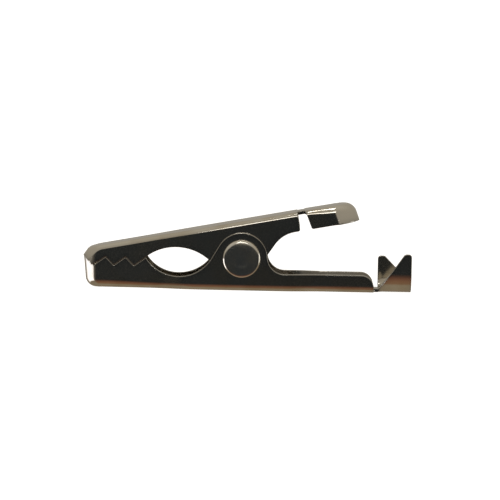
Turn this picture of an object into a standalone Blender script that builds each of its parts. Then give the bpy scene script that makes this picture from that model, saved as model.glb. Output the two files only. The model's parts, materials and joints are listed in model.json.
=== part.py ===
"""Alligator clip: two stamped jaws, the rivet they turn on and the spring that closes them.

Units are metres, +X runs from the teeth to the crimp barrel and +Z is up.
The clip stands on the flat web of its lower jaw, and the origin is under the middle of its length.
The jaws are shown closed. The upper jaw turns about the rivet, along Y.
"""

import math

import bmesh
import bpy
from mathutils import Matrix

MM = 0.001

# Whole clip
JAW_REACH = 16.95 * MM  # rivet axis to the front of the nose
TAIL_REACH = 18.15 * MM  # rivet axis to the back of the crimp barrel
PIVOT_HEIGHT = 3.45 * MM  # rivet axis above the surface that the clip stands on
NOSE_HEIGHT = 4.16 * MM  # over both webs at the front, jaws closed
LEVER_RISE = 3.87 * MM  # rivet axis to the outside of the upper web

# Sheet
SHEET = 0.4 * MM
BEND_RADIUS = 0.7 * MM  # outside radius of the folds

# Widths, measured outside from the middle plane
NOSE_HALF_WIDTH = 2.2 * MM
NOSE_CORNER = 1.8 * MM  # rounding of the nose seen from above
EAR_HALF_WIDTH = 3.2 * MM  # lower jaw, at the rivet
TAIL_HALF_WIDTH = 2.5 * MM
EAR_CLEARANCE = 0.1 * MM  # between an upper ear and the lower ear outside it
EAR_STRAIGHT = 4.4 * MM  # each side of the rivet, where the sides run parallel
TAIL_STRAIGHT_START = 9.0 * MM

# Teeth, shared by both jaws
TOOTH_COUNT = 3
TOOTH_PITCH = 2.15 * MM
TOOTH_DEPTH = 0.9 * MM
TOOTH_FALL = 0.9 * MM  # along X, from a tip of the lower jaw to the next root behind it
TOOTH_TIP_HEIGHT = 3.28 * MM
TOOTH_GAP = 0.06 * MM
NOSE_LAND = 0.25 * MM  # from the front of the nose to the first tip

# Round opening behind the teeth
MOUTH_SHOULDER = 0.55 * MM  # from its back end to the lower ear
MOUTH_DEPTH = 1.88 * MM  # down from its ends, in the lower jaw
MOUTH_RISE = 1.3 * MM  # up from its ends, in the upper jaw
MOUTH_BACK_DROP = 0.25 * MM  # back end of the upper edge below the tooth tips

# Ears and tail of the lower jaw
EAR_FLOOR_GAP = 0.25 * MM  # upper ear above the start of the lower jaw's folds
EAR_LAP = 0.25 * MM  # lower ear beyond the upper ear, all round
TAIL_HEIGHT = 1.85 * MM
TAIL_FILLET = 1.85 * MM
TAIL_CORNER = 1.35 * MM

# Crimp barrel
NECK_HALF_WIDTH = 1.1 * MM
NECK_LENGTH = 0.5 * MM
BARREL_LENGTH = 3.5 * MM
BARREL_RADIUS = 2.4 * MM
BARREL_FLAT = 0.25 * MM  # half of the flat floor
WING_LEAN = math.radians(2)  # outwards
WING_HEIGHT = 4.2 * MM  # wing on the -Y side, standing at the back
FAR_WING_HEIGHT = 3.65 * MM  # wing on the +Y side, standing at the front
WING_TOP = 0.75 * MM
WING_RUN = 2.65 * MM  # along X, under the slope of the -Y wing
WING_STEP = 0.85 * MM  # height left at the low end of the +Y wing
WING_ROUNDING = 0.35 * MM  # corners of the wings' tops

# Finger lever of the upper jaw
LEVER_FLANGE_DEPTH = 2.06 * MM
LEVER_NECK_SLOPE = math.radians(45)
LEVER_NECK_INSET = 0.45 * MM  # sloping back edge inside the round of the upper ear
LEVER_FILLET = 3.3 * MM
NOTCH_START = 6.7 * MM
NOTCH_LENGTH = 0.72 * MM
NOTCH_SLANT = 0.5 * MM
NOTCH_WEB_HALF_WIDTH = 1.35 * MM
PAD_END = 12.95 * MM  # behind the rivet, along the upper web
PAD_CORNER = 2.3 * MM

# Rivet
SHANK_RADIUS = 1.0 * MM
HOLE_CLEARANCE = 0.05 * MM
HEAD_RADIUS = 2.0 * MM
HEAD_HEIGHT = 0.5 * MM
HEAD_EDGE = 0.4 * MM
HEAD_GAP = 0.04 * MM
DIMPLE_RADIUS = 1.05 * MM
DIMPLE_DEPTH = 0.16 * MM
DIMPLE_SLOPE = 0.18 * MM
CLINCH_HOLE_RADIUS = 0.62 * MM
CLINCH_HOLE_DEPTH = 1.2 * MM
CLINCH_MOUTH = 0.35 * MM

# Spring
WIRE_RADIUS = 0.3 * MM
COIL_CLEARANCE = 0.2 * MM  # coil inside to shank
COIL_GAP = 0.06 * MM  # between turns
COIL_FULL_TURNS = 4
LEG_GAP = 0.05 * MM  # leg to web
LOWER_LEG_REACH = 6.0 * MM
UPPER_LEG_SHORT = 1.3 * MM  # upper leg's end to the notch

# Places worked out from the sizes above
PIVOT_X = (JAW_REACH - TAIL_REACH) / 2
NOSE_RISE = NOSE_HEIGHT - PIVOT_HEIGHT
NOSE_DISTANCE = math.hypot(JAW_REACH, NOSE_RISE)
LEVER_ANGLE = math.asin(LEVER_RISE / NOSE_DISTANCE) - math.atan2(NOSE_RISE, JAW_REACH)
UPPER_EAR_RADIUS = PIVOT_HEIGHT - BEND_RADIUS - EAR_FLOOR_GAP
LOWER_EAR_RADIUS = UPPER_EAR_RADIUS + EAR_LAP
UPPER_HALF_WIDTH = EAR_HALF_WIDTH - SHEET - EAR_CLEARANCE
MOUTH_START = JAW_REACH - NOSE_LAND - TOOTH_COUNT * TOOTH_PITCH  # ahead of the rivet
MOUTH_END = LOWER_EAR_RADIUS + MOUTH_SHOULDER
TOOTH_ROOT_HEIGHT = TOOTH_TIP_HEIGHT - TOOTH_DEPTH
LEVER_NECK_OFFSET = UPPER_EAR_RADIUS - LEVER_NECK_INSET
BARREL_START = TAIL_REACH - BARREL_LENGTH
TAIL_END = BARREL_START - NECK_LENGTH
UPPER_LEG_REACH = NOTCH_START - UPPER_LEG_SHORT
COIL_RADIUS = SHANK_RADIUS + COIL_CLEARANCE + WIRE_RADIUS
FLANGE_LINE = LEVER_RISE - LEVER_FLANGE_DEPTH  # lower edge of the lever's flanges, in the lever's frame
BEYOND = 5 * MM  # how far cutters reach past what they cut

# Facets
ARC_STEP = math.radians(12)
COIL_STEP = math.radians(18)
ROUND_STEPS = 32  # round a hole or the rivet
FOLD_STEPS = 5
LOWER_PLAN_STEPS = 24  # along a side that changes in width
UPPER_PLAN_STEPS = 20


def clear_scene():
    for thing in list(bpy.data.objects):
        bpy.data.objects.remove(thing, do_unlink=True)


def collection(name, hidden=False):
    made = bpy.data.collections.new(name)
    made.hide_render = hidden
    bpy.context.scene.collection.children.link(made)
    return made


def metal(name, colour, roughness):
    made = bpy.data.materials.new(name)
    made.use_nodes = True
    shader = made.node_tree.nodes["Principled BSDF"]
    shader.inputs["Base Color"].default_value = (*colour, 1)
    shader.inputs["Metallic"].default_value = 1
    shader.inputs["Roughness"].default_value = roughness
    return made


def arc(centre, radius, start, end):
    """Points of an arc, both ends included. Angles are counterclockwise from +X."""
    steps = max(2, math.ceil(abs(end - start) / ARC_STEP))
    points = []
    for step in range(steps + 1):
        angle = start + (end - start) * step / steps
        points.append((centre[0] + radius * math.cos(angle), centre[1] + radius * math.sin(angle)))
    return points


def bowed(start, end, rise):
    """Points of the arc from start to end, both included, that bows to its left by rise."""
    along = (end[0] - start[0], end[1] - start[1])
    chord = math.hypot(*along)
    radius = (chord * chord / 4 + rise * rise) / (2 * abs(rise))
    left = (-along[1] / chord, along[0] / chord)
    back = math.copysign(radius, rise) - rise
    centre = ((start[0] + end[0]) / 2 - left[0] * back, (start[1] + end[1]) / 2 - left[1] * back)
    first = math.atan2(start[1] - centre[1], start[0] - centre[0])
    half = math.asin(chord / 2 / radius)
    return arc(centre, radius, first, first - math.copysign(2 * half, rise))


def rounded(before, corner, after, radius):
    """Points of the arc that rounds a corner between its two neighbours."""
    into = math.atan2(corner[1] - before[1], corner[0] - before[0])
    out = math.atan2(after[1] - corner[1], after[0] - corner[0])
    turn = (out - into + math.pi) % (2 * math.pi) - math.pi
    side = math.copysign(math.pi / 2, turn)
    back = radius * math.tan(abs(turn) / 2)
    start = (corner[0] - back * math.cos(into), corner[1] - back * math.sin(into))
    centre = (start[0] + radius * math.cos(into + side), start[1] + radius * math.sin(into + side))
    return arc(centre, radius, into - side, into - side + turn)


def ease(share):
    share = min(1, max(0, share))
    return share * share * (3 - 2 * share)


def to_lever(x, z):
    """A place measured from the rivet axis along X and Z, in the frame of the tilted upper jaw."""
    c = math.cos(LEVER_ANGLE)
    s = math.sin(LEVER_ANGLE)
    return (x * c + z * s, z * c - x * s)


def flat_curve(name, outline, half_thickness):
    curve = bpy.data.curves.new(name, "CURVE")
    curve.dimensions = "2D"
    curve.fill_mode = "BOTH"
    curve.extrude = half_thickness
    spline = curve.splines.new("POLY")
    spline.points.add(len(outline) - 1)
    for point, place in zip(spline.points, outline):
        point.co = (*place, 0, 1)
    spline.use_cyclic_u = True
    return bpy.data.objects.new(name, curve)


def as_mesh(thing, group):
    """The object of a curve, made a closed mesh with its place kept."""
    bpy.context.scene.collection.objects.link(thing)
    bpy.context.view_layer.update()
    graph = bpy.context.evaluated_depsgraph_get()
    mesh = bpy.data.meshes.new_from_object(thing.evaluated_get(graph))
    shape = bmesh.new()
    shape.from_mesh(mesh)
    bmesh.ops.remove_doubles(shape, verts=shape.verts, dist=1e-7)
    bmesh.ops.recalc_face_normals(shape, faces=shape.faces)
    shape.to_mesh(mesh)
    shape.free()
    name = thing.name
    place = thing.matrix_world.copy()
    bpy.data.objects.remove(thing, do_unlink=True)
    made = bpy.data.objects.new(name, mesh)
    made.matrix_world = place
    group.objects.link(made)
    return made


def side_prism(name, outline, low, high, frame, group):
    """A prism with an outline in X and Z, from y = low to y = high, placed in a jaw's frame."""
    thing = flat_curve(name, outline, (high - low) / 2)
    stand_up = Matrix.Rotation(math.pi / 2, 4, "X")
    thing.matrix_world = frame @ Matrix.Translation((0, (low + high) / 2, 0)) @ stand_up
    made = as_mesh(thing, group)
    made.display_type = "WIRE"
    made.hide_render = True
    return made


def y_cylinder(name, radius, half_length, frame, group):
    shape = bmesh.new()
    bmesh.ops.create_cone(
        shape, cap_ends=True, segments=ROUND_STEPS, radius1=radius, radius2=radius, depth=2 * half_length
    )
    mesh = bpy.data.meshes.new(name)
    shape.to_mesh(mesh)
    shape.free()
    made = bpy.data.objects.new(name, mesh)
    made.matrix_world = frame @ Matrix.Rotation(math.pi / 2, 4, "X")
    made.display_type = "WIRE"
    made.hide_render = True
    group.objects.link(made)
    return made


def boolean(thing, operation, other):
    cut = thing.modifiers.new(f"{operation.lower()} {other.name}", "BOOLEAN")
    cut.operation = operation
    cut.solver = "EXACT"
    cut.object = other


def thicken(thing):
    wall = thing.modifiers.new("sheet", "SOLIDIFY")
    wall.thickness = SHEET
    wall.offset = -1
    wall.use_even_offset = True


def folded_tray(name, outline, height, frame, group):
    """Sheet folded up all round a flat web. The web's outside is at z = 0 and the walls rise from it."""
    thing = flat_curve(name, outline, 0)
    thing.matrix_world = frame
    tray = as_mesh(thing, group)
    shape = bmesh.new()
    shape.from_mesh(tray.data)
    bmesh.ops.dissolve_faces(shape, faces=shape.faces)
    web = shape.faces[:][0]
    if web.normal.z > 0:
        web.normal_flip()
    rim = [edge for edge in shape.edges if edge.is_boundary]
    raised = bmesh.ops.extrude_edge_only(shape, edges=rim)["geom"]
    raised = [item for item in raised if isinstance(item, bmesh.types.BMVert)]
    bmesh.ops.translate(shape, verts=raised, vec=(0, 0, height))
    bmesh.ops.recalc_face_normals(shape, faces=shape.faces)
    web = min(shape.faces, key=lambda face: face.calc_center_median().z)
    if web.normal.z > 0:
        bmesh.ops.reverse_faces(shape, faces=shape.faces)
    shape.to_mesh(tray.data)
    shape.free()
    fold = tray.modifiers.new("fold", "BEVEL")
    fold.limit_method = "ANGLE"
    fold.angle_limit = math.radians(60)
    fold.width = BEND_RADIUS
    fold.segments = FOLD_STEPS
    thicken(tray)
    return tray


def half_plan(front, width_at, back, steps):
    """One side of a plan outline, with a rounded nose: points from the middle of the nose to the back."""
    corner = (front + NOSE_CORNER, NOSE_HALF_WIDTH - NOSE_CORNER)
    points = arc(corner, NOSE_CORNER, math.pi, math.pi / 2)
    start = points[-1][0]
    for step in range(1, steps + 1):
        x = start + (back - start) * step / steps
        points.append((x, width_at(x)))
    return points


def mirrored(side):
    return side + [(x, -y) for x, y in reversed(side)]


def lower_width(x):
    if x < 0:
        share = ease((x + MOUTH_START) / (MOUTH_START - EAR_STRAIGHT))
        return NOSE_HALF_WIDTH + (EAR_HALF_WIDTH - NOSE_HALF_WIDTH) * share
    share = ease((x - EAR_STRAIGHT) / (TAIL_STRAIGHT_START - EAR_STRAIGHT))
    return EAR_HALF_WIDTH + (TAIL_HALF_WIDTH - EAR_HALF_WIDTH) * share


def upper_width(x):
    share = ease((x + MOUTH_START) / (MOUTH_START - EAR_STRAIGHT))
    return NOSE_HALF_WIDTH + (UPPER_HALF_WIDTH - NOSE_HALF_WIDTH) * share


def tooth_line():
    """Upper edge of the lower teeth from the front of the nose to the round opening, from the rivet foot."""
    points = [(-JAW_REACH - BEYOND, TOOTH_TIP_HEIGHT)]
    for tooth in range(TOOTH_COUNT):
        tip = -MOUTH_START - TOOTH_PITCH * (TOOTH_COUNT - tooth)
        points.append((tip, TOOTH_TIP_HEIGHT))
        points.append((tip + TOOTH_FALL, TOOTH_ROOT_HEIGHT))
    points.append((-MOUTH_START, TOOTH_TIP_HEIGHT))
    return points


def tangent_angle(place, radius, side):
    """Where a line from a place touches a circle round the origin. Side is 1 or -1."""
    away = math.hypot(*place)
    return math.atan2(place[1], place[0]) + side * math.acos(radius / away)


def lower_profile():
    """Side outline of the lower jaw as far as the tail's end, measured from the rivet foot."""
    corner = (-MOUTH_END, TOOTH_TIP_HEIGHT)
    points = [(-JAW_REACH - BEYOND, -BEYOND)]
    points += tooth_line()
    points += bowed(points[-1], corner, -MOUTH_DEPTH)[1:]
    rivet = (0, PIVOT_HEIGHT)
    touch = tangent_angle((corner[0], corner[1] - PIVOT_HEIGHT), LOWER_EAR_RADIUS, -1) % (2 * math.pi)
    fillet_rise = TAIL_HEIGHT + TAIL_FILLET - PIVOT_HEIGHT
    fillet_x = math.sqrt((LOWER_EAR_RADIUS + TAIL_FILLET) ** 2 - fillet_rise**2)
    meet = math.atan2(fillet_rise, fillet_x)
    points += arc(rivet, LOWER_EAR_RADIUS, touch, meet)
    fillet = (fillet_x, TAIL_HEIGHT + TAIL_FILLET)
    points += arc(fillet, TAIL_FILLET, math.pi + meet, 1.5 * math.pi)[1:]
    points += arc((TAIL_END - TAIL_CORNER, TAIL_HEIGHT - TAIL_CORNER), TAIL_CORNER, math.pi / 2, 0)
    points.append((TAIL_END, -BEYOND))
    return points


def upper_profile():
    """Side outline of the upper jaw in the lever's frame. The pad's end is left to the tray."""
    top = LEVER_RISE + BEYOND
    points = [(-JAW_REACH - BEYOND, top)]
    for x, z in tooth_line():
        points.append(to_lever(x, z + TOOTH_GAP - PIVOT_HEIGHT))
    back = to_lever(-MOUTH_END, TOOTH_TIP_HEIGHT - MOUTH_BACK_DROP - PIVOT_HEIGHT)
    points += bowed(points[-1], back, MOUTH_RISE)[1:]
    touch = tangent_angle(back, UPPER_EAR_RADIUS, 1) % (2 * math.pi)
    slope = LEVER_NECK_SLOPE
    leave = slope - math.pi / 2 + math.acos(LEVER_NECK_OFFSET / UPPER_EAR_RADIUS)
    points += arc((0, 0), UPPER_EAR_RADIUS, touch, leave + 2 * math.pi)
    centre_z = FLANGE_LINE - LEVER_FILLET
    reach = (LEVER_NECK_OFFSET + LEVER_FILLET + centre_z * math.cos(slope)) / math.sin(slope)
    points += arc((reach, centre_z), LEVER_FILLET, math.pi / 2 + slope, math.pi / 2)
    points.append((PAD_END + BEYOND, FLANGE_LINE))
    points.append((PAD_END + BEYOND, top))
    return points


def make_lower_jaw(parts, cutters, frame, look):
    back = TAIL_END + BEYOND
    side = half_plan(-JAW_REACH, lower_width, back, LOWER_PLAN_STEPS)
    ear_top = PIVOT_HEIGHT + LOWER_EAR_RADIUS + BEYOND
    jaw = folded_tray("lower_jaw", mirrored(side), ear_top, frame, parts)
    wide = EAR_HALF_WIDTH + BEYOND
    boolean(jaw, "INTERSECT", side_prism("lower_side", lower_profile(), -wide, wide, frame, cutters))
    pivot = frame @ Matrix.Translation((0, 0, PIVOT_HEIGHT))
    hole = y_cylinder("lower_hole", SHANK_RADIUS + HOLE_CLEARANCE, wide, pivot, cutters)
    boolean(jaw, "DIFFERENCE", hole)
    boolean(jaw, "UNION", make_barrel(cutters, frame))
    boolean(jaw, "UNION", make_neck(cutters, frame))
    jaw.data.materials.append(look)
    return jaw


def make_barrel(cutters, frame):
    """Open crimp barrel: a U of sheet whose two wings are cut to slopes that face each other."""
    tip = WING_HEIGHT + BEYOND
    lean = math.pi / 2 - WING_LEAN
    side = [(BARREL_FLAT, 0)]
    side += arc((BARREL_FLAT, BARREL_RADIUS), BARREL_RADIUS, -math.pi / 2, lean - math.pi / 2)
    foot = side[-1]
    side.append((foot[0] + (tip - foot[1]) / math.tan(lean), tip))
    section = [(-y, z) for y, z in reversed(side)] + side
    shape = bmesh.new()
    corners = [shape.verts.new((BARREL_START, y, z)) for y, z in section]
    for first, second in zip(corners, corners[1:]):
        shape.edges.new((first, second))
    bmesh.ops.remove_doubles(shape, verts=shape.verts, dist=1e-7)
    drawn = bmesh.ops.extrude_edge_only(shape, edges=shape.edges[:])["geom"]
    drawn = [item for item in drawn if isinstance(item, bmesh.types.BMVert)]
    bmesh.ops.translate(shape, verts=drawn, vec=(BARREL_LENGTH, 0, 0))
    bmesh.ops.recalc_face_normals(shape, faces=shape.faces)
    floor = min(shape.faces, key=lambda face: face.calc_center_median().z)
    if floor.normal.z > 0:
        bmesh.ops.reverse_faces(shape, faces=shape.faces)
    mesh = bpy.data.meshes.new("barrel")
    shape.to_mesh(mesh)
    shape.free()
    barrel = bpy.data.objects.new("barrel", mesh)
    barrel.matrix_world = frame
    barrel.display_type = "WIRE"
    barrel.hide_render = True
    cutters.objects.link(barrel)
    thicken(barrel)
    wide = BARREL_FLAT + BARREL_RADIUS + tip
    overlap = BARREL_FLAT
    near = side_prism("near_wing", near_wing(), -wide, overlap, frame, cutters)
    far = side_prism("far_wing", far_wing(), -overlap, wide, frame, cutters)
    boolean(near, "UNION", far)
    boolean(barrel, "INTERSECT", near)
    return barrel


def near_wing():
    """Upright edge at the back, slope down to the floor at the front."""
    foot = (TAIL_REACH - WING_TOP - WING_RUN, SHEET)
    front = (TAIL_REACH - WING_TOP, WING_HEIGHT)
    back = (TAIL_REACH, WING_HEIGHT)
    points = [(BARREL_START - BEYOND, -BEYOND), (BARREL_START - BEYOND, SHEET), foot]
    points += rounded(foot, front, back, WING_ROUNDING)
    points += rounded(front, back, (TAIL_REACH, 0), WING_ROUNDING)
    points.append((TAIL_REACH, -BEYOND))
    return points


def far_wing():
    """Upright edge at the front, slope down to a low step at the back."""
    front = (BARREL_START, FAR_WING_HEIGHT)
    back = (BARREL_START + WING_TOP, FAR_WING_HEIGHT)
    step = (TAIL_REACH, WING_STEP)
    points = [(BARREL_START, -BEYOND)]
    points += rounded((BARREL_START, 0), front, back, WING_ROUNDING)
    points += rounded(front, back, step, WING_ROUNDING)
    points += [step, (TAIL_REACH, -BEYOND)]
    return points


def make_neck(cutters, frame):
    """Flat strip that joins the tail's web to the floor of the barrel."""
    start = TAIL_END - TAIL_CORNER
    end = BARREL_START + BARREL_LENGTH / 4
    shape = bmesh.new()
    bmesh.ops.create_cube(shape, size=1)
    bmesh.ops.scale(shape, verts=shape.verts, vec=(end - start, 2 * NECK_HALF_WIDTH, SHEET))
    bmesh.ops.translate(shape, verts=shape.verts, vec=((start + end) / 2, 0, SHEET / 2))
    mesh = bpy.data.meshes.new("neck")
    shape.to_mesh(mesh)
    shape.free()
    neck = bpy.data.objects.new("neck", mesh)
    neck.matrix_world = frame
    neck.display_type = "WIRE"
    neck.hide_render = True
    cutters.objects.link(neck)
    return neck


def make_upper_jaw(parts, cutters, lever, look):
    front = -JAW_REACH * math.cos(LEVER_ANGLE)
    pad_corner = (PAD_END - PAD_CORNER, UPPER_HALF_WIDTH - PAD_CORNER)
    side = half_plan(front, upper_width, pad_corner[0], UPPER_PLAN_STEPS)
    side += arc(pad_corner, PAD_CORNER, math.pi / 2, 0)[1:]
    upside_down = Matrix.Translation((0, 0, LEVER_RISE)) @ Matrix.Rotation(math.pi, 4, "X")
    depth = LEVER_RISE + UPPER_EAR_RADIUS + BEYOND
    jaw = folded_tray("upper_jaw", mirrored(side), depth, Matrix.Identity(4), parts)
    jaw.data.transform(upside_down)
    jaw.matrix_world = lever
    wide = UPPER_HALF_WIDTH + BEYOND
    boolean(jaw, "INTERSECT", side_prism("upper_side", upper_profile(), -wide, wide, lever, cutters))
    for name, low, high in (
        ("near_notch", -wide, -NOTCH_WEB_HALF_WIDTH),
        ("far_notch", NOTCH_WEB_HALF_WIDTH, wide),
    ):
        boolean(jaw, "DIFFERENCE", side_prism(name, notch(), low, high, lever, cutters))
    hole = y_cylinder("upper_hole", SHANK_RADIUS + HOLE_CLEARANCE, wide, lever, cutters)
    boolean(jaw, "DIFFERENCE", hole)
    jaw.data.materials.append(look)
    return jaw


def notch():
    """Gap between the lever's flange and the skirt of the thumb pad, in the lever's frame."""
    top = LEVER_RISE + BEYOND
    low = FLANGE_LINE - BEYOND
    end = NOTCH_START + NOTCH_LENGTH
    drop = NOTCH_SLANT * (LEVER_RISE - low) / LEVER_FLANGE_DEPTH
    return [(NOTCH_START, top), (NOTCH_START, low), (end + drop, low), (end, LEVER_RISE), (end, top)]


def make_rivet(parts, frame, look):
    """Turned about its own Z, which points to -Y: dimpled head on the -Y side, clinched tube on the other."""
    under = EAR_HALF_WIDTH + HEAD_GAP
    top = under + HEAD_HEIGHT
    bore = CLINCH_HOLE_RADIUS
    profile = [
        (0, top - DIMPLE_DEPTH),
        (DIMPLE_RADIUS - DIMPLE_SLOPE, top - DIMPLE_DEPTH),
        (DIMPLE_RADIUS, top),
    ]
    profile += arc((HEAD_RADIUS - HEAD_EDGE, top - HEAD_EDGE), HEAD_EDGE, math.pi / 2, 0)
    profile += [(HEAD_RADIUS, under), (SHANK_RADIUS, under), (SHANK_RADIUS, -under), (HEAD_RADIUS, -under)]
    profile += arc((HEAD_RADIUS - HEAD_EDGE, HEAD_EDGE - top), HEAD_EDGE, 0, -math.pi / 2)
    profile += arc((bore + CLINCH_MOUTH, CLINCH_MOUTH - top), CLINCH_MOUTH, -math.pi / 2, -math.pi)
    profile += [(bore, CLINCH_HOLE_DEPTH - top), (0, CLINCH_HOLE_DEPTH - top)]
    mesh = bpy.data.meshes.new("pivot_rivet")
    edges = [(first, first + 1) for first in range(len(profile) - 1)]
    mesh.from_pydata([(x, 0, z) for x, z in profile], edges, [])
    rivet = bpy.data.objects.new("pivot_rivet", mesh)
    rivet.matrix_world = frame @ Matrix.Rotation(math.pi / 2, 4, "X")
    parts.objects.link(rivet)
    turn = rivet.modifiers.new("turn", "SCREW")
    turn.steps = ROUND_STEPS
    turn.render_steps = ROUND_STEPS
    turn.use_merge_vertices = True
    turn.merge_threshold = 1e-6
    rivet.data.materials.append(look)
    return rivet


def make_spring(parts, frame, look):
    """Coil round the rivet. Each leg leaves it on a tangent and ends against the web of one jaw."""
    lower_tip = (LOWER_LEG_REACH, SHEET + LEG_GAP + WIRE_RADIUS - PIVOT_HEIGHT)
    web = LEVER_RISE - SHEET - LEG_GAP - WIRE_RADIUS
    c = math.cos(LEVER_ANGLE)
    s = math.sin(LEVER_ANGLE)
    upper_tip = (UPPER_LEG_REACH * c - web * s, UPPER_LEG_REACH * s + web * c)
    start = tangent_angle(lower_tip, COIL_RADIUS, -1)
    end = tangent_angle(upper_tip, COIL_RADIUS, 1)
    sweep = (start - end) % (2 * math.pi) + 2 * math.pi * COIL_FULL_TURNS
    pitch = 2 * WIRE_RADIUS + COIL_GAP
    half = pitch * sweep / (4 * math.pi)
    steps = math.ceil(sweep / COIL_STEP)
    points = [(lower_tip[0], -half, lower_tip[1])]
    for step in range(steps + 1):
        angle = start - sweep * step / steps
        y = half * (2 * step / steps - 1)
        points.append((COIL_RADIUS * math.cos(angle), y, COIL_RADIUS * math.sin(angle)))
    points.append((upper_tip[0], half, upper_tip[1]))
    curve = bpy.data.curves.new("torsion_spring", "CURVE")
    curve.dimensions = "3D"
    curve.bevel_depth = WIRE_RADIUS
    curve.bevel_resolution = 2
    curve.use_fill_caps = True
    spline = curve.splines.new("POLY")
    spline.points.add(len(points) - 1)
    for point, place in zip(spline.points, points):
        point.co = (*place, 1)
    spring = bpy.data.objects.new("torsion_spring", curve)
    spring.matrix_world = frame
    parts.objects.link(spring)
    curve.materials.append(look)
    return spring


def shade(thing):
    if thing.type == "MESH":
        thing.data.shade_smooth()
        thing.data.set_sharp_from_angle(angle=math.radians(35))


def main():
    clear_scene()
    parts = collection("alligator_clip")
    cutters = collection("alligator_clip_cutters", hidden=True)
    foot = Matrix.Translation((PIVOT_X, 0, 0))
    pivot = foot @ Matrix.Translation((0, 0, PIVOT_HEIGHT))
    lever = pivot @ Matrix.Rotation(-LEVER_ANGLE, 4, "Y")
    nickel = metal("nickel_plate", (0.64, 0.60, 0.53), 0.16)
    rivet_nickel = metal("rivet_nickel", (0.58, 0.55, 0.49), 0.2)
    spring_steel = metal("spring_steel", (0.42, 0.42, 0.43), 0.32)
    made = [
        make_lower_jaw(parts, cutters, foot, nickel),
        make_upper_jaw(parts, cutters, lever, nickel),
        make_rivet(parts, pivot, rivet_nickel),
        make_spring(parts, pivot, spring_steel),
    ]
    for thing in made:
        shade(thing)


main()
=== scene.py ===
import functools
import json
import math

import bmesh
import bpy
import numpy as np
from mathutils import Matrix, Vector
from mathutils.geometry import delaunay_2d_cdt


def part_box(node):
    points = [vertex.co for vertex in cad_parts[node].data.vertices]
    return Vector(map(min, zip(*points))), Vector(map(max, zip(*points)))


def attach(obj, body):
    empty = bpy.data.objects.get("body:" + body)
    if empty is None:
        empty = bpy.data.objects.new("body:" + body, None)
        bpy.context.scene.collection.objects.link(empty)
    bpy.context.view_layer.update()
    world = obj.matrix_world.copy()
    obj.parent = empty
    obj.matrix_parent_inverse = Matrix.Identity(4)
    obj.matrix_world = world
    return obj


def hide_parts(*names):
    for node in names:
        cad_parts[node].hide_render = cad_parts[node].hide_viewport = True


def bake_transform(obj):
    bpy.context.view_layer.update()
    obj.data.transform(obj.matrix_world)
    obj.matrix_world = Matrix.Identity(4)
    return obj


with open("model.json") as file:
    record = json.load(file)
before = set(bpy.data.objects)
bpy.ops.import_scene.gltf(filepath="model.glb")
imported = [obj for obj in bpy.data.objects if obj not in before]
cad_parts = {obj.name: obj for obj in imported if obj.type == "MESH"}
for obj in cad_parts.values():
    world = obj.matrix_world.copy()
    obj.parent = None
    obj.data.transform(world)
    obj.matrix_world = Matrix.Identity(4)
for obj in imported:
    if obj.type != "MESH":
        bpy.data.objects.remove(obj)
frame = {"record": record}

mm = 0.001
sharpAngle = math.radians(50)
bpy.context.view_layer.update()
pivot = [value / mm for value in frame["record"]["behaviour"]["joints"][0]["pos_m"]]
lowerBox = [[value / mm for value in corner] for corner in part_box("lower_jaw")]
print("frame loaded, rivet axis at", [round(value, 2) for value in pivot])


def addObject(name, data):
    made = bpy.data.objects.new(name, data)
    bpy.context.scene.collection.objects.link(made)
    return made


def facing(way):
    return way.to_track_quat("Z", "Y").to_matrix().to_4x4()


cameraView = {
    "aim": (0.245, 0, 4.16),  # mm, near the middle of the clip
    "distance": 380,
    "azimuth": 0.52,
    "elevation": 4.4,
    "roll": 1.135,
    "lens": 255,
    "clipStart": 0.01,
}


def addCamera(view):
    turn, rise = math.radians(view["azimuth"]), math.radians(view["elevation"])
    away = Vector((math.sin(turn) * math.cos(rise), -math.cos(turn) * math.cos(rise), math.sin(rise)))
    camera = addObject("camera", bpy.data.cameras.new("camera"))
    camera.data.lens = view["lens"]
    camera.data.clip_start = view["clipStart"]
    place = Matrix.Translation((Vector(view["aim"]) + away * view["distance"]) * mm)
    camera.matrix_world = place @ facing(away) @ Matrix.Rotation(math.radians(view["roll"]), 4, "Z")
    bpy.context.scene.camera = camera


addCamera(cameraView)
bpy.context.scene.view_settings.view_transform = "Standard"
print("camera placed")

# the sizes that both jaws are stamped and bent to, in mm
stamping = {
    "sheet": 0.4,
    "rim": 0.055,  # rounding of the cut edges
    "rimLoop": 0.05,
    "rimSteps": 3,
    "bend": 0.8,  # outside radius of the folds
    "bendSteps": 12,
    "hole": 1.05,
    "noseHalf": 2.2,
    "noseCorner": 1.8,
    "toothTip": 3.28,
    "toothDepth": 0.9,
    "toothFall": 0.9,
    "toothPitch": 2.15,
    "teeth": 3,
    "toothRounding": 0.09,
    "noseLand": 0.25,
    "endRoom": 0.25,  # flat left between the middle line and the fold at a rounded end
    # painted shade: the Rim Tint is mixed in at this share right beside the cut edges, and the rounded cut
    # edges take it fully
    "mixShare": 0.8,
    "rimShadeReach": 0.22,  # the painted shade of the rims fades over this distance
    # how closely the points stand along the edges and over the blank
    "edgeStep": 0.16,
    "rowStep": 0.36,
    "lipRows": 22,
    "noseRows": 30,
    "endRows": 34,
    "webRows": (0, 0.25, 0.5, 0.75, 0.93),  # shares of the web's half width
    "wallRows": (0.08, 0.3, 0.7, 1.1, 1.6, 2.1, 2.6, 3.1, 3.6, 4.1, 4.6, 5.2),  # mm past the fold
}
arcs = {
    "step": math.radians(6),
    "fineStep": math.radians(3),
    "cornerStep": math.radians(20),
    "leastTurn": math.radians(15),  # a smaller turn belongs to an arc already
    "roomShare": 0.45,  # of the shorter run beside a corner
}
jawReach = pivot[0] - lowerBox[0][0]
mouthFront = jawReach - stamping["noseLand"] - stamping["teeth"] * stamping["toothPitch"]


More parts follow.
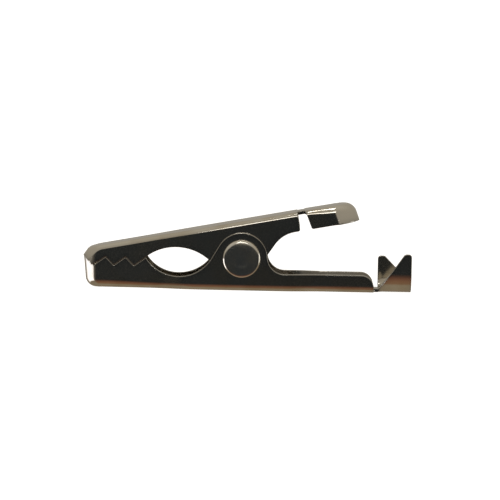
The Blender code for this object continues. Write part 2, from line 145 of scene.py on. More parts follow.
def arcPoints(centre, radius, start, end, step=arcs["step"]):
    count = max(2, math.ceil(abs(end - start) / step))
    angles = [start + (end - start) * k / count for k in range(count + 1)]
    return [(centre[0] + radius * math.cos(a), centre[1] + radius * math.sin(a)) for a in angles]


def bowPoints(start, end, rise):
    # arc between two points that bows to its left by rise
    dx, dy = end[0] - start[0], end[1] - start[1]
    chord = math.hypot(dx, dy)
    radius = (chord * chord / 4 + rise * rise) / (2 * abs(rise))
    back = math.copysign(radius, rise) - rise
    centre = ((start[0] + end[0]) / 2 + dy / chord * back, (start[1] + end[1]) / 2 - dx / chord * back)
    first = math.atan2(start[1] - centre[1], start[0] - centre[0])
    half = math.asin(chord / 2 / radius)
    return arcPoints(centre, radius, first, first - math.copysign(2 * half, rise), arcs["fineStep"])


def roundCorners(points, radius):
    # every corner between straight runs becomes a small arc; arcs of short steps stay as they are
    done = [points[0]]
    for before, corner, after in zip(points, points[1:], points[2:]):
        into = math.atan2(corner[1] - before[1], corner[0] - before[0])
        out = math.atan2(after[1] - corner[1], after[0] - corner[0])
        turn = (out - into + math.pi) % (2 * math.pi) - math.pi
        room = arcs["roomShare"] * min(math.dist(before, corner), math.dist(corner, after))
        if abs(turn) < arcs["leastTurn"]:
            done.append(corner)
            continue
        size = min(radius, room / math.tan(abs(turn) / 2))
        back = size * math.tan(abs(turn) / 2)
        start = (corner[0] - back * math.cos(into), corner[1] - back * math.sin(into))
        side = math.copysign(math.pi / 2, turn)
        centre = (start[0] + size * math.cos(into + side), start[1] + size * math.sin(into + side))
        done += arcPoints(centre, size, into - side, into - side + turn, arcs["cornerStep"])
    return done + [points[-1]]


def ease(share):
    share = np.clip(share, 0, 1)
    return share * share * (3 - 2 * share)


def touchAngle(place, radius, side):
    return math.atan2(place[1], place[0]) + side * math.acos(radius / math.hypot(*place))


def toothLine():
    points = []
    for tooth in range(stamping["teeth"]):
        tip = -mouthFront - stamping["toothPitch"] * (stamping["teeth"] - tooth)
        points += [
            (tip, stamping["toothTip"]),
            (tip + stamping["toothFall"], stamping["toothTip"] - stamping["toothDepth"]),
        ]
    return points + [(-mouthFront, stamping["toothTip"])]


# A jaw is a flat blank bent up round its web. Along the blank runs t: the X of a cross-section on the sides,
# and the run round the corners at a rounded end. Across it runs p, the length of sheet from the middle line.


class Bent:
    def __init__(self, values):
        self.v = values
        self.nose = values["front"] + values["noseCorner"]
        noseFlat = values["noseHalf"] - values["noseCorner"]
        self.first = self.nose - values["noseCorner"] * math.pi / 2 - noseFlat
        self.last = values["end"]
        self.rounded = "endCorner" in values
        if self.rounded:
            corner = values["endCorner"]
            self.tail = values["end"] - corner
            self.last = self.tail + corner * math.pi / 2 + values["endHalf"] - corner

    def endOf(self, t, start, corner, sign):
        # how far t has gone round a rounded end: turn of the corner, run along the flat
        past = np.clip((t - start) * sign, 0, None)
        turn = np.minimum(past / corner, math.pi / 2)
        return turn, past - turn * corner

    def track(self, t):
        v = self.v
        radius = v["bendAt"](t)
        phi = v["phiAt"](t)
        half = v["halfAt"](t)
        turn, flat = self.endOf(t, self.nose, v["noseCorner"], -1)
        x = np.where(t < self.nose, self.nose - v["noseCorner"] * np.sin(turn), t)
        y = np.where(t < self.nose, v["noseHalf"] - v["noseCorner"] * (1 - np.cos(turn)) - flat, half)
        nx, ny = -np.sin(turn), np.cos(turn)
        middle = np.where(t < self.nose, self.nose, t)
        share = np.clip((self.nose - t) / (self.nose - self.first), 0, 1)
        middle = middle - share * (v["noseCorner"] - radius - v["endRoom"])
        if self.rounded:
            turn, flat = self.endOf(t, self.tail, v["endCorner"], 1)
            pastTail = t > self.tail
            x = np.where(pastTail, self.tail + v["endCorner"] * np.sin(turn), x)
            y = np.where(pastTail, v["endHalf"] - v["endCorner"] * (1 - np.cos(turn)) - flat, y)
            nx = np.where(pastTail, np.sin(turn), nx)
            ny = np.where(pastTail, np.cos(turn), ny)
            share = np.clip((t - self.tail) / (self.last - self.tail), 0, 1)
            middle = np.where(pastTail, self.tail + share * (v["endCorner"] - radius - v["endRoom"]), middle)
        cx, cy = x - nx * radius, y - ny * radius
        return {
            "x": x, "cx": cx, "cy": cy, "nx": nx, "ny": ny, "middle": middle,
            "web": np.hypot(cx - middle, cy), "radius": radius, "phi": phi,
        }

    def sectionAt(self, t):
        return {name: value.item() for name, value in self.track(np.array([float(t)])).items()}

    def place(self, t, p, depth):
        # blank to space: web, fold, wall
        section = self.track(t)
        web, radius, phi = section["web"], section["radius"], section["phi"]
        share = np.clip(p / np.maximum(web, 1e-6), 0, 1)
        bend = np.clip((p - web) / radius, 0, phi)
        rest = np.clip(p - web - radius * phi, 0, None)
        out = (radius - depth) * np.sin(bend) + rest * np.cos(phi)
        up = radius - (radius - depth) * np.cos(bend) + rest * np.sin(phi)
        x = section["middle"] + (section["cx"] - section["middle"]) * share + section["nx"] * out
        y = section["cy"] * share + section["ny"] * out
        return self.v["finish"](np.stack([x, y, up], axis=-1), section, share)

    def acrossAt(self, t, height):
        # p of a height on the outside of the wall
        section = self.sectionAt(t)
        web, radius, phi = section["web"], section["radius"], section["phi"]
        knee = radius * (1 - math.cos(phi))
        if height < knee:
            return web + radius * math.acos(1 - max(height, 0) / radius)
        return web + radius * phi + (height - knee) / math.sin(phi)

    def alongAt(self, x):
        v = self.v
        if x < self.nose:
            back = min(1, (self.nose - x) / v["noseCorner"])
            return self.nose - v["noseCorner"] * math.asin(back)
        if self.rounded and x > self.tail:
            return self.tail + v["endCorner"] * math.asin(min(1, (x - self.tail) / v["endCorner"]))
        return x

    def edge(self, points):
        # side view outline, x and height, laid on the blank
        laid = []
        for start, end in zip(points, points[1:]):
            t0, t1 = self.alongAt(start[0]), self.alongAt(end[0])
            count = max(1, math.ceil(max(abs(t1 - t0), abs(end[1] - start[1])) / stamping["edgeStep"]))
            for k in range(count):
                share = k / count
                x = start[0] + (end[0] - start[0]) * share
                height = start[1] + (end[1] - start[1]) * share
                t = self.alongAt(x)
                laid.append((t, self.acrossAt(t, height)))
        t = self.alongAt(points[-1][0])
        return laid + [(t, self.acrossAt(t, points[-1][1]))]


def evenly(points):
    laid = []
    for start, end in zip(points, points[1:]):
        count = max(1, math.ceil(math.dist(start, end) / stamping["edgeStep"]))
        for k in range(count):
            across, up = (end[0] - start[0]) * k / count, (end[1] - start[1]) * k / count
            laid.append((start[0] + across, start[1] + up))
    return laid + [points[-1]]


def tidyChain(points, closest=0.012):
    kept = [points[0]]
    for point in points[1:]:
        if math.dist(point, kept[-1]) > closest:
            kept.append(point)
    kept[-1] = points[-1]
    return np.array(kept)


def outward(chain, closed):
    # mitred normals on the left of the chain, with a limit at sharp corners
    if closed:
        before, after = chain - np.roll(chain, 1, 0), np.roll(chain, -1, 0) - chain
    else:
        steps = np.diff(chain, axis=0)
        before, after = np.vstack([steps[:1], steps]), np.vstack([steps, steps[-1:]])
    before = before / np.linalg.norm(before, axis=1)[:, None]
    after = after / np.linalg.norm(after, axis=1)[:, None]
    left = lambda way: np.stack([-way[:, 1], way[:, 0]], axis=1)
    normal = left(before) + left(after)
    normal /= np.linalg.norm(normal, axis=1)[:, None]
    lean = np.clip((normal * left(after)).sum(1), 0.5, 1)
    return normal / lean[:, None]


def inside(points, polygon):
    x, y = points[:, 0][:, None], points[:, 1][:, None]
    ax, ay = polygon[:, 0][None], polygon[:, 1][None]
    bx, by = np.roll(polygon[:, 0], -1)[None], np.roll(polygon[:, 1], -1)[None]
    crosses = (ay > y) != (by > y)
    at = ax + (y - ay) * (bx - ax) / np.where(by == ay, 1e-12, by - ay)
    return (crosses & (x < at)).sum(1) % 2 == 1


def distanceTo(border, spots):
    return np.min(np.linalg.norm(spots[:, None] - border[None], axis=2), axis=1)


def addVertex(shape, edgeLayer, place, mixShare):
    vertex = shape.verts.new(place)
    vertex[edgeLayer] = mixShare
    return vertex


def bendHalf(shape, edgeLayer, bent, chain, holes, stations, side):
    # one half of the blank; chain is its free edge from the nose round to the back
    rim, sheet = stamping["rim"], stamping["sheet"]
    normals = outward(chain, False)
    inner = chain - normals * rim
    inner[0, 0] = chain[0, 0]
    if bent.rounded:
        inner[-1, 0] = chain[-1, 0]
    else:
        inner[-1, 1] = 0
    seam = [(bent.first, p) for p in seamSteps(bent, bent.first, inner[0, 1])]
    base = [(t, 0.0) for t in stations[1:] if t < inner[-1, 0] - 0.03]
    back = [(bent.last, p) for p in seamSteps(bent, bent.last, inner[-1, 1])] if bent.rounded else []
    loop = seam + [tuple(point) for point in inner] + back[::-1] + base[::-1]
    rings = [(np.arange(len(seam), len(seam) + len(inner)), inner, normals, False)]
    points, edges = list(loop), [(k, (k + 1) % len(loop)) for k in range(len(loop))]
    cut = []
    for centre, radius in holes:
        ring = np.array(arcPoints(centre, radius + rim, 0, 2 * math.pi)[:-1])
        first = len(points)
        points += [tuple(point) for point in ring]
        edges += [(first + k, first + (k + 1) % len(ring)) for k in range(len(ring))]
        rings.append((np.arange(first, first + len(ring)), ring, outward(ring, True), True))
        cut.append(ring)
    border = np.array(points)
    # a row of points close along the edges keeps the flats flat right up to their rounding
    beside = np.vstack([ring - normal * stamping["rimLoop"] for _, ring, normal, _ in rings])
    filled = np.array([(t, p) for t in stations for p in acrossSteps(bent, t)[1:]])
    for spots, loopsAway in ((beside, 0.8), (filled, 2.2)):
        room = loopsAway * stamping["rimLoop"]
        keep = inside(spots, np.array(loop)) & (distanceTo(border, spots) > room)
        for ring in cut:
            keep &= ~inside(spots, ring)
        points += [tuple(point) for point in spots[keep]]
    flat, _, faces, origin, _, _ = delaunay_2d_cdt([Vector(point) for point in points], edges, [], 0, 1e-6)
    flat = np.array([tuple(point) for point in flat])
    newIndex = {old: new for new, olds in enumerate(origin) for old in olds}
    faces = np.array([tuple(face) for face in faces])
    centres = flat[faces].mean(axis=1)
    keep = inside(centres, np.array(loop))
    for ring in cut:
        keep &= ~inside(centres, ring)
    faces = faces[keep]
    borderFar = distanceTo(np.vstack([ring[1] for ring in rings]), flat)
    flip = np.array([1, side, 1])
    # painted shade along the cut edges: the Rim Tint's share fades inwards from them
    mixShare = [math.exp(-far / stamping["rimShadeReach"]) * stamping["mixShare"] for far in borderFar]
    layers = []
    for depth in (0, sheet):
        places = bent.place(*flat.T, depth) * flip
        layers.append([addVertex(shape, edgeLayer, *pair) for pair in zip(places, mixShare)])
    for face in faces:
        shape.faces.new([layers[0][k] for k in face])
        shape.faces.new([layers[1][k] for k in face[::-1]])
    steps = stamping["rimSteps"]
    angles = [k / steps * math.pi / 2 for k in range(1, steps + 1)]
    profile = [(rim * math.sin(a), rim * (1 - math.cos(a))) for a in angles]
    profile += [(out, sheet - depth) for out, depth in reversed(profile)]
    for index, ring, normal, closed in rings:
        previous = [layers[0][newIndex[k]] for k in index]
        rows = []
        for out, depth in profile:
            spots = ring + normal * out
            if not closed:
                spots[0, 0] = ring[0, 0]
                if bent.rounded:
                    spots[-1, 0] = ring[-1, 0]
                else:
                    spots[-1, 1] = 0
            places = bent.place(*spots.T, depth) * flip
            # the rounded cut edges take the Rim Tint's painted shade fully
            rows.append([addVertex(shape, edgeLayer, place, 1) for place in places])
        rows.append([layers[1][newIndex[k]] for k in index])
        for row in rows:
            count = len(row) if closed else len(row) - 1
            for k in range(count):
                n = (k + 1) % len(row)
                shape.faces.new((previous[k], previous[n], row[n], row[k]))
            previous = row


def seamSteps(bent, t, top):
    return [p for p in acrossSteps(bent, t) if p < top - 0.05]


def acrossSteps(bent, t):
    section = bent.sectionAt(t)
    web, fold = section["web"], section["radius"] * section["phi"]
    steps = [web * share for share in stamping["webRows"]]
    steps += [web + fold * k / stamping["bendSteps"] for k in range(stamping["bendSteps"] + 1)]
    return steps + [web + fold + rise for rise in stamping["wallRows"]]


def finishSheet(name, shape, place):
    bmesh.ops.remove_doubles(shape, verts=shape.verts, dist=1e-4)
    bmesh.ops.dissolve_degenerate(shape, edges=shape.edges, dist=1e-5)
    # a sliver has an open edge and lies on an edge that two other faces share
    slivers = True
    while slivers:
        slivers = [face for face in shape.faces if any(len(edge.link_faces) == 1 for edge in face.edges)
                   and any(len(edge.link_faces) > 2 for edge in face.edges)]
        bmesh.ops.delete(shape, geom=slivers, context="FACES_ONLY")
        bmesh.ops.delete(shape, geom=[edge for edge in shape.edges if not edge.link_faces], context="EDGES")
    bmesh.ops.recalc_face_normals(shape, faces=shape.faces)
    mesh = bpy.data.meshes.new(name)
    shape.to_mesh(mesh)
    openCount = sum(1 for edge in shape.edges if len(edge.link_faces) != 2)
    shape.free()
    mesh.transform(place @ Matrix.Scale(mm, 4))
    if place.determinant() < 0:
        mesh.flip_normals()
    mesh.shade_smooth()
    made = addObject(name, mesh)
    even = made.modifiers.new("even normals", "WEIGHTED_NORMAL")
    even.mode = "FACE_AREA_WITH_ANGLE"
    even.weight = 60
    print(name, "has", len(mesh.polygons), "faces,", openCount, "open edges")
    return made


lowerJaw = {
    "front": -jawReach,
    "earHalf": 3.2,
    "tailHalf": 2.5,
    "earStraight": 4.4,
    "tailStraight": 9.0,
    "mouthShoulder": 0.55,
    "mouthDepth": 1.88,
    "earRadius": 2.75,
    "tailHeight": 1.85,
    "tailFillet": 1.85,
    "tailCorner": 1.35,
    "neckHalf": 1.1,
    "neckLength": 0.5,
    "neckFillet": 0.18,
    "barrelLength": 3.5,
    "barrelRadius": 2.4,
    "farBarrelRadius": 1.3,
    "barrelFlat": 0.25,
    "wingLean": 2,
    "tailLean": 6,  # the tail's flanges open outwards by this many degrees
    "tailLeanStart": 0.6,
    "tailLeanRun": 3,
    "wingHeight": 4.2,
    "farWingHeight": 3.65,
    "wingTop": 0.75,
    "wingRun": 2.65,
    "wingStep": 0.85,
    "wingRounding": 0.35,
    "noseBend": 1.0,
    "noseBendEnd": 8,  # from here to the tail the bend is as tight as elsewhere
    "noseBendRun": 6,
    "noseLean": 0.32,  # the nose leans back by this much towards its foot
    "noseLeanPower": 0.8,
    "curlRun": 0.45,  # of the barrel, over which its curl comes up to the full
}


def buildLowerJaw(v):
    tailReach = lowerBox[1][0] - pivot[0]
    barrelStart = tailReach - v["barrelLength"]
    tailEnd = barrelStart - v["neckLength"]
    curl = lambda t: ease((t - tailEnd) / (barrelStart + v["curlRun"] - tailEnd))

    def halfAt(t):
        front = ease((t + mouthFront) / (mouthFront - v["earStraight"]))
        back = ease((t - v["earStraight"]) / (v["tailStraight"] - v["earStraight"]))
        sides = stamping["noseHalf"] + (v["earHalf"] - stamping["noseHalf"]) * front
        sides = sides - (v["earHalf"] - v["tailHalf"]) * back
        return sides * (1 - curl(t)) + (v["barrelFlat"] + v["barrelRadius"]) * curl(t)

    def bendAt(t, barrel):
        nose = ease((v["noseBendEnd"] - jawReach - t) / v["noseBendRun"])
        curled = (barrel - stamping["bend"]) * curl(t)
        return stamping["bend"] + curled + (v["noseBend"] - stamping["bend"]) * nose

    def phiAt(t):
        leaned = ease((t - v["earStraight"] + v["tailLeanStart"]) / v["tailLeanRun"])
        flange = math.radians(v["tailLean"]) * leaned
        return math.pi / 2 - math.radians(v["wingLean"]) * curl(t) - flange * (1 - curl(t))

    def finish(places, section, share):
        lean = section["nx"] ** 2 * np.where(section["nx"] < 0, 1, 0) * share
        down = np.clip(1 - places[..., 2] / stamping["toothTip"], 0, 1)
        places[..., 0] += lean * v["noseLean"] * down ** v["noseLeanPower"]
        return places

    def halfBent(barrel):
        return Bent({
            **stamping, **v, "end": tailReach, "halfAt": halfAt, "phiAt": phiAt, "finish": finish,
            "bendAt": lambda t: bendAt(t, barrel),
        })

    # the far wing's bend is tighter than the near one's
    bent, farBent = halfBent(v["barrelRadius"]), halfBent(v["farBarrelRadius"])
    tip = stamping["toothTip"]
    corner = (-v["earRadius"] - v["mouthShoulder"], tip)
    teeth = roundCorners(toothLine() + [(-mouthFront + 0.5, tip - 0.5)], stamping["toothRounding"])[:-1]
    teeth = [point for point in teeth if point[0] < -mouthFront - 0.02] + [(-mouthFront, tip)]
    start = bent.alongAt(teeth[0][0])
    chain = [(t, bent.acrossAt(t, tip)) for t in np.linspace(bent.first, start, stamping["lipRows"])[:-1]]
    side = teeth + bowPoints(teeth[-1], corner, -v["mouthDepth"])[1:]
    touch = touchAngle((corner[0], tip - pivot[2]), v["earRadius"], -1) % (2 * math.pi)
    filletTop = v["tailHeight"] + v["tailFillet"]
    rise = filletTop - pivot[2]
    run = math.sqrt((v["earRadius"] + v["tailFillet"]) ** 2 - rise ** 2)
    meet = math.atan2(rise, run)
    side += arcPoints((0, pivot[2]), v["earRadius"], touch, meet, arcs["fineStep"])
    side += arcPoints((run, filletTop), v["tailFillet"], math.pi + meet, 1.5 * math.pi)[1:]
    low = v["tailHeight"] - v["tailCorner"]
    side += arcPoints((tailEnd - v["tailCorner"], low), v["tailCorner"], math.pi / 2, 0)
    chain += bent.edge(side)
    hole = [((0, bent.acrossAt(0, pivot[2])), stamping["hole"])]
    nearTop = roundCorners([
        (tailReach - v["wingTop"] - v["wingRun"], stamping["sheet"]),
        (tailReach - v["wingTop"], v["wingHeight"]),
        (tailReach, v["wingHeight"]),
        (tailReach, stamping["sheet"]),
    ], v["wingRounding"])
    farTop = roundCorners([
        (barrelStart, stamping["sheet"]),
        (barrelStart, v["farWingHeight"]),
        (barrelStart + v["wingTop"], v["farWingHeight"]),
        (tailReach, v["wingStep"]),
        (tailReach, stamping["sheet"]),
    ], v["wingRounding"])
    stations = sorted(
        list(np.linspace(bent.first, bent.nose, stamping["noseRows"]))
        + list(np.arange(bent.nose + 0.3, tailEnd - 0.1, stamping["rowStep"]))
        + list(np.linspace(tailEnd, tailReach, stamping["endRows"]))
    )
    shape = bmesh.new()
    layer = shape.verts.layers.float.new("edge")
    for sign, half, top in ((-1, bent, nearTop), (1, farBent, farTop)):
        wing = half.edge(top)
        neck = [chain[-1], (tailEnd, v["neckHalf"]), (wing[0][0], v["neckHalf"]), wing[0]]
        neck = evenly(roundCorners(neck, v["neckFillet"]))
        whole = tidyChain(chain + neck[1:] + wing[1:] + evenly([wing[-1], (tailReach, 0)])[1:])
        bendHalf(shape, layer, half, whole, hole, stations, sign)
    return finishSheet("lowerJawSheet", shape, Matrix.Translation((pivot[0] * mm, 0, 0)))


upperJaw = {
    "rise": 3.87,  # rivet axis to the outside of the web
    "noseOver": 4.16,  # height over both webs at the nose
    "half": 2.7,
    "earStraight": 4.4,
    "earRadius": 2.5,
    "toothGap": 0.06,
    "mouthShoulder": 0.55,
    "mouthRise": 1.3,
    "mouthDrop": 0.25,
    "flange": 2.06,
    "neckSlope": 45,
    "neckInset": 0.45,
    "neckFillet": 3.3,
    "notchStart": 6.7,
    "notchLength": 0.72,
    "notchSlant": 0.5,
    "notchWeb": 1.35,
    "notchFillet": 0.22,
    "padEnd": 12.95,
    "padCorner": 2.3,
    "padBend": 0.8,  # bend along the sides of the thumb pad
    "padEndBend": 1.3,
    "padEndRun": 1.4,  # of the corner, over which the bend changes to the end's
    "padLean": 9,  # degrees that the end of the pad opens outwards
    "padLeanStart": 0.5,
    "padLeanRun": 0.9,
    "padRowStep": 0.25,
    "noseLean": 17,
    "noseLeanFrom": 0.5,
    "noseBend": 1.2,
    "noseBendStart": 0.3,
    "noseBendRun": 1.6,
    "bend": 0.5,
}


def leverTilt():
    noseRise = upperJaw["noseOver"] - pivot[2]
    return math.asin(upperJaw["rise"] / math.hypot(jawReach, noseRise)) - math.atan2(noseRise, jawReach)


def buildUpperJaw(v):
    tilt = leverTilt()
    cosTilt, sinTilt = math.cos(tilt), math.sin(tilt)
    toLever = lambda x, z: (x * cosTilt + z * sinTilt, z * cosTilt - x * sinTilt)
    front = -jawReach * cosTilt
    padStart = v["padEnd"] - v["padCorner"]
    notchEnd = v["notchStart"] + v["notchLength"]

    def halfAt(t):
        share = ease((t + mouthFront) / (mouthFront - v["earStraight"]))
        return stamping["noseHalf"] + (v["half"] - stamping["noseHalf"]) * share

    def bendAt(t):
        side = ease((t - notchEnd) / (padStart - notchEnd))
        end = ease((t - padStart) / (v["padCorner"] * v["padEndRun"]))
        wide = v["bend"] + (v["padBend"] - v["bend"]) * side
        nose = ease((front + stamping["noseCorner"] + v["noseBendStart"] - t) / v["noseBendRun"])
        return wide + (v["padEndBend"] - v["padBend"]) * end + (v["noseBend"] - v["bend"]) * nose

    def phiAt(t):
        leaned = ease((t - padStart + v["padLeanStart"]) / v["padLeanRun"])
        return math.pi / 2 - math.radians(v["padLean"]) * leaned

    def finish(places, section, share):
        # the nose stands a little forward of upright, although the web is tilted
        lean = np.clip(-section["nx"], 0, None) * share
        out = sinTilt + math.tan(math.radians(v["noseLean"]))
        places[..., 0] -= lean * out * np.clip(places[..., 2] - v["noseLeanFrom"], 0, None)
        return places

    bent = Bent({
        **stamping, **v, "front": front,
        "end": v["padEnd"], "endCorner": v["padCorner"], "endHalf": v["half"],
        "halfAt": halfAt, "bendAt": bendAt, "phiAt": phiAt, "finish": finish,
    })
    line = [toLever(x, z + v["toothGap"] - pivot[2]) for x, z in toothLine()]
    ahead = toLever(-jawReach - 1, stamping["toothTip"] + v["toothGap"] - pivot[2])
    back = toLever(-lowerJaw["earRadius"] - v["mouthShoulder"],
                   stamping["toothTip"] - v["mouthDrop"] - pivot[2])
    teeth = roundCorners([ahead] + line + [back], stamping["toothRounding"])
    teeth = [point for point in teeth if line[0][0] <= point[0] < line[-1][0] - 0.02] + [line[-1]]
    side = teeth + bowPoints(line[-1], back, v["mouthRise"])[1:]
    touch = touchAngle(back, v["earRadius"], 1) % (2 * math.pi)
    slope = math.radians(v["neckSlope"])
    offset = v["earRadius"] - v["neckInset"]
    leave = slope - math.pi / 2 + math.acos(offset / v["earRadius"])
    side += arcPoints((0, 0), v["earRadius"], touch, leave + 2 * math.pi, arcs["fineStep"])
    flange = v["rise"] - v["flange"]
    centreZ = flange - v["neckFillet"]
    reach = (offset + v["neckFillet"] + centreZ * math.cos(slope)) / math.sin(slope)
    side += arcPoints((reach, centreZ), v["neckFillet"], math.pi / 2 + slope, math.pi / 2, arcs["fineStep"])
    side = [(x, v["rise"] - z) for x, z in side]
    slopeOut = -math.tan(tilt)
    tipHeight = side[0][1]
    start = bent.alongAt(side[0][0])
    chain = []
    for t in np.linspace(bent.first, start, stamping["lipRows"])[:-1]:
        x = bent.sectionAt(t)["x"]
        chain.append((t, bent.acrossAt(t, tipHeight - slopeOut * (x - side[0][0]))))
    chain += bent.edge(side)
    full = bent.acrossAt(v["notchStart"], v["flange"])
    webEnd = bent.sectionAt(notchEnd)["web"]
    slantEnd = notchEnd + v["notchSlant"]
    notch = [
        chain[-1],
        (v["notchStart"] - 0.03, full),
        (v["notchStart"], v["notchWeb"]),
        (notchEnd, v["notchWeb"]),
        (notchEnd + 0.04, webEnd),
        (slantEnd, bent.acrossAt(slantEnd, v["flange"])),
        (slantEnd + 0.6, bent.acrossAt(slantEnd + 0.6, v["flange"])),
    ]
    chain += evenly(roundCorners(notch, v["notchFillet"]))[1:]
    along = np.arange(slantEnd + 0.75, bent.last - 0.08, stamping["edgeStep"])
    chain += [(t, bent.acrossAt(t, v["flange"])) for t in along]
    chain.append((bent.last, bent.acrossAt(bent.last, v["flange"])))
    hole = [((0, bent.acrossAt(0, v["rise"])), stamping["hole"])]
    stations = sorted(
        list(np.linspace(bent.first, bent.nose, stamping["noseRows"]))
        + list(np.arange(bent.nose + 0.3, notchEnd, stamping["rowStep"]))
        + list(np.arange(notchEnd + 0.05, bent.tail - 0.05, v["padRowStep"]))
        + list(np.linspace(bent.tail, bent.last, stamping["endRows"]))
    )
    shape = bmesh.new()
    layer = shape.verts.layers.float.new("edge")
    for sign in (-1, 1):
        bendHalf(shape, layer, bent, tidyChain(chain), hole, stations, sign)
    place = Matrix.Translation(Vector(pivot) * mm) @ Matrix.Rotation(-tilt, 4, "Y")
    place = place @ Matrix.Translation((0, 0, v["rise"] * mm)) @ Matrix.Scale(-1, 4, (0, 0, 1))
    return finishSheet("upperJawSheet", shape, place)


rivetSizes = {
    "shank": 1.0,
    "head": 2.0,
    "height": 0.5,
    "edge": 0.24,
    "gap": 0.04,
    "dimple": 1.05,
    "coneWidth": 0.12,  # sloping ring between the face and the rounded edge
    "coneFall": 12,
    "dimpleDepth": 0.035,
    "dimpleSlope": 0.3,
    # the dimple's side, from its foot up: shares of the slope inwards and of the depth downwards
    "dimpleSide": ((1.6, 1), (1, 0.8), (0.3, 0.12)),
    "dimpleRounding": 0.1,
    "chamfer": 0.03,
    "bore": 0.62,
    "boreDepth": 1.2,
    "boreMouth": 0.35,
    "boreTip": 0.2,
    "arcStep": math.radians(7.5),
    "steps": 144,
}


def buildRivet(v):
    under = lowerJaw["earHalf"] + v["gap"]
    top = under + v["height"]
    edge, face, small, step = v["edge"], v["head"] - v["edge"], v["chamfer"], v["arcStep"]
    dish = [(0, top - v["dimpleDepth"])]
    for inwards, down in v["dimpleSide"]:
        dish.append((v["dimple"] - v["dimpleSlope"] * inwards, top - v["dimpleDepth"] * down))
    dish += [(v["dimple"], top), (face - v["coneWidth"], top)]
    profile = roundCorners(dish, v["dimpleRounding"])[:-1]
    fall = math.radians(v["coneFall"])
    coneDepth = v["coneWidth"] * math.tan(fall)
    profile += [(face + edge * math.sin(fall) - v["coneWidth"], top)]
    profile += arcPoints((face, top - coneDepth - edge * math.cos(fall)), edge, math.pi / 2 - fall, 0, step)
    profile += [(v["head"], under + small), (v["head"] - small, under), (v["shank"], under)]
    profile += [(v["shank"], -under), (v["head"] - small, -under), (v["head"], -under - small)]
    profile += arcPoints((face, edge - top), edge, 0, -math.pi / 2, step)
    mouth = (v["bore"] + v["boreMouth"], v["boreMouth"] - top)
    profile += arcPoints(mouth, v["boreMouth"], -math.pi / 2, -math.pi, step)
    profile += [(v["bore"], v["boreDepth"] - top), (0, v["boreDepth"] + v["boreTip"] - top)]
    shape = bmesh.new()
    spots = [shape.verts.new((x, 0, z)) for x, z in profile]
    lines = [shape.edges.new(pair) for pair in zip(spots, spots[1:])]
    bmesh.ops.spin(shape, geom=spots + lines, cent=(0, 0, 0), axis=(0, 0, 1),
                   angle=2 * math.pi, steps=v["steps"], use_merge=True)
    bmesh.ops.remove_doubles(shape, verts=shape.verts, dist=1e-4)
    bmesh.ops.recalc_face_normals(shape, faces=shape.faces)
    mesh = bpy.data.meshes.new("rivetTurned")
    shape.to_mesh(mesh)
    shape.free()
    lying = Matrix.Rotation(math.pi / 2, 4, "X")
    mesh.transform(Matrix.Translation(Vector(pivot) * mm) @ lying @ Matrix.Scale(mm, 4))
    mesh.shade_smooth()
    mesh.set_sharp_from_angle(angle=sharpAngle)
    made = addObject("rivetTurned", mesh)
    print("rivet turned,", len(mesh.polygons), "faces")
    return made


springSizes = {
    "wire": 0.3,
    "clearance": 0.2,
    "turnGap": 0.06,
    "fullTurns": 4,
    "legGap": 0.05,
    "lowerLeg": 6.0,
    "upperLeg": 5.4,
    "wireSides": 20,
    "points": 420,
    "legShare": 0.06,  # of those points, on each leg
}


def socketNode(tree, kind, **settings):
    node = tree.nodes.new(kind)
    for name, value in settings.items():
        setattr(node, name, value)
    return node


def addSockets(tree, names, kind, way="INPUT"):
    for name in names:
        tree.interface.new_socket(name, in_out=way, socket_type="NodeSocket" + kind)


def mathNode(tree, operation, *values, clamp=False):
    node = socketNode(tree, "ShaderNodeMath", operation=operation, use_clamp=clamp)
    for socket, value in zip(node.inputs, values):
        if isinstance(value, (int, float)):
            socket.default_value = value
        else:
            tree.links.new(value, socket)
    return node.outputs[0]


def rampNode(tree, value, low, high):
    node = socketNode(tree, "ShaderNodeMapRange", interpolation_type="SMOOTHSTEP")
    node.inputs["From Min"].default_value = low
    node.inputs["From Max"].default_value = high
    tree.links.new(value, node.inputs["Value"])
    return node.outputs["Result"]


def mixNode(tree, share, first, second):
    node = socketNode(tree, "ShaderNodeMix", data_type="RGBA")
    tree.links.new(share, node.inputs["Factor"])
    tree.links.new(first, node.inputs[6])
    if isinstance(second, tuple):
        node.inputs[7].default_value = (*second, 1)
    else:
        tree.links.new(second, node.inputs[7])
    return node.outputs[2]


def vectorNode(tree, operation, first, second=None, scale=None):
    node = socketNode(tree, "ShaderNodeVectorMath", operation=operation)
    tree.links.new(first, node.inputs[0])
    if second is not None:
        tree.links.new(second, node.inputs[1])
    if scale is not None:
        tree.links.new(scale, node.inputs["Scale"])
    return node.outputs[0]


